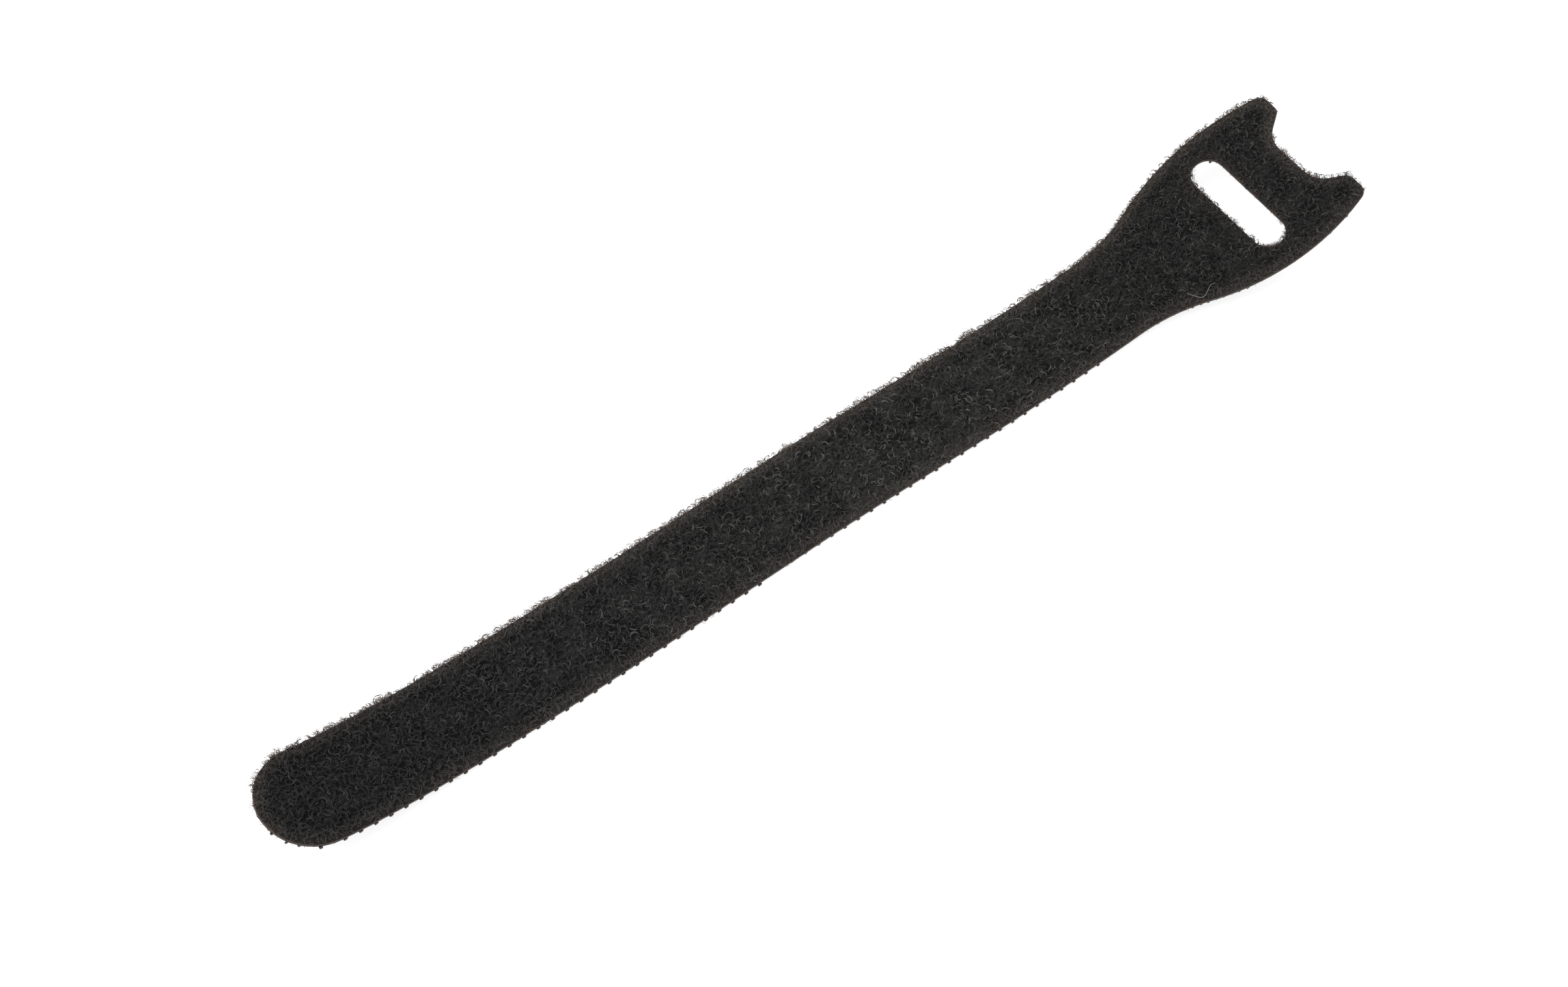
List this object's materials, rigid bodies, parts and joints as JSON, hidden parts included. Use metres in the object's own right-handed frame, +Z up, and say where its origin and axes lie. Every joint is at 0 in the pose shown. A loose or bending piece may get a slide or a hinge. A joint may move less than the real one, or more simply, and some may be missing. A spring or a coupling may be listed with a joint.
{
  "type": "hook and loop cable tie",
  "caption": "Reusable back-to-back hook and loop strap with a round tip and a wide slotted head that its own tail passes through.",
  "frame": {"origin": "middle of the tie's length and width, on the surface that it lies on", "axes": "+X from the round tip to the slotted head, +Y across the strap, +Z up from the hook side to the loop side"},
  "size_m": [0.1486, 0.0214, 0.0073],
  "materials": {
    "loop_pile": "matte black nylon loop pile on a moulded hook backing"
  },
  "bodies": {
    "root": {"cable_tie": "loop_pile"}
  },
  "joints": []
}
